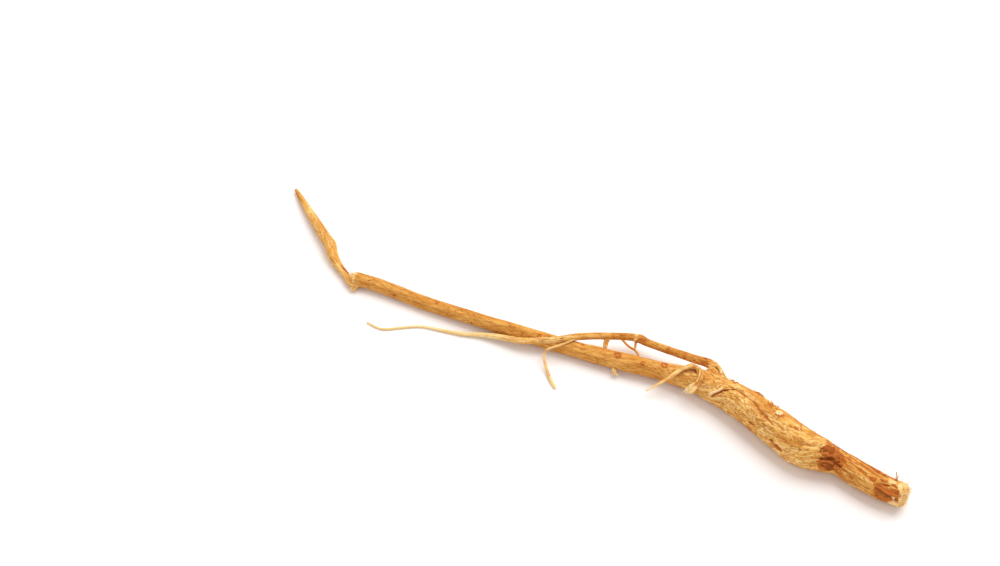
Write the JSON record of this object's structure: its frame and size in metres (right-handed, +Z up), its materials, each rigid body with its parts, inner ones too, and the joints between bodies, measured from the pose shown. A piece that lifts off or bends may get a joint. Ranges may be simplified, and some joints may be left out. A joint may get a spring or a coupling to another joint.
{
  "type": "dried astragalus root",
  "caption": "Thin dried root with a torn fibrous crown, a narrow neck, a swelling, wrinkled bark, a long side root laid over it and a folded tail.",
  "frame": {"origin": "on the surface that the root lies on, below the middle of its outer box", "axes": "+X along the root from the thin tail to the torn crown, +Y away from the side that the picture shows, +Z up"},
  "size_m": [0.2726, 0.0491, 0.0143],
  "materials": {
    "bark": "dry, matt, straw yellow with orange-brown stains"
  },
  "bodies": {
    "root": {"astragalus_root": "bark"}
  },
  "joints": []
}
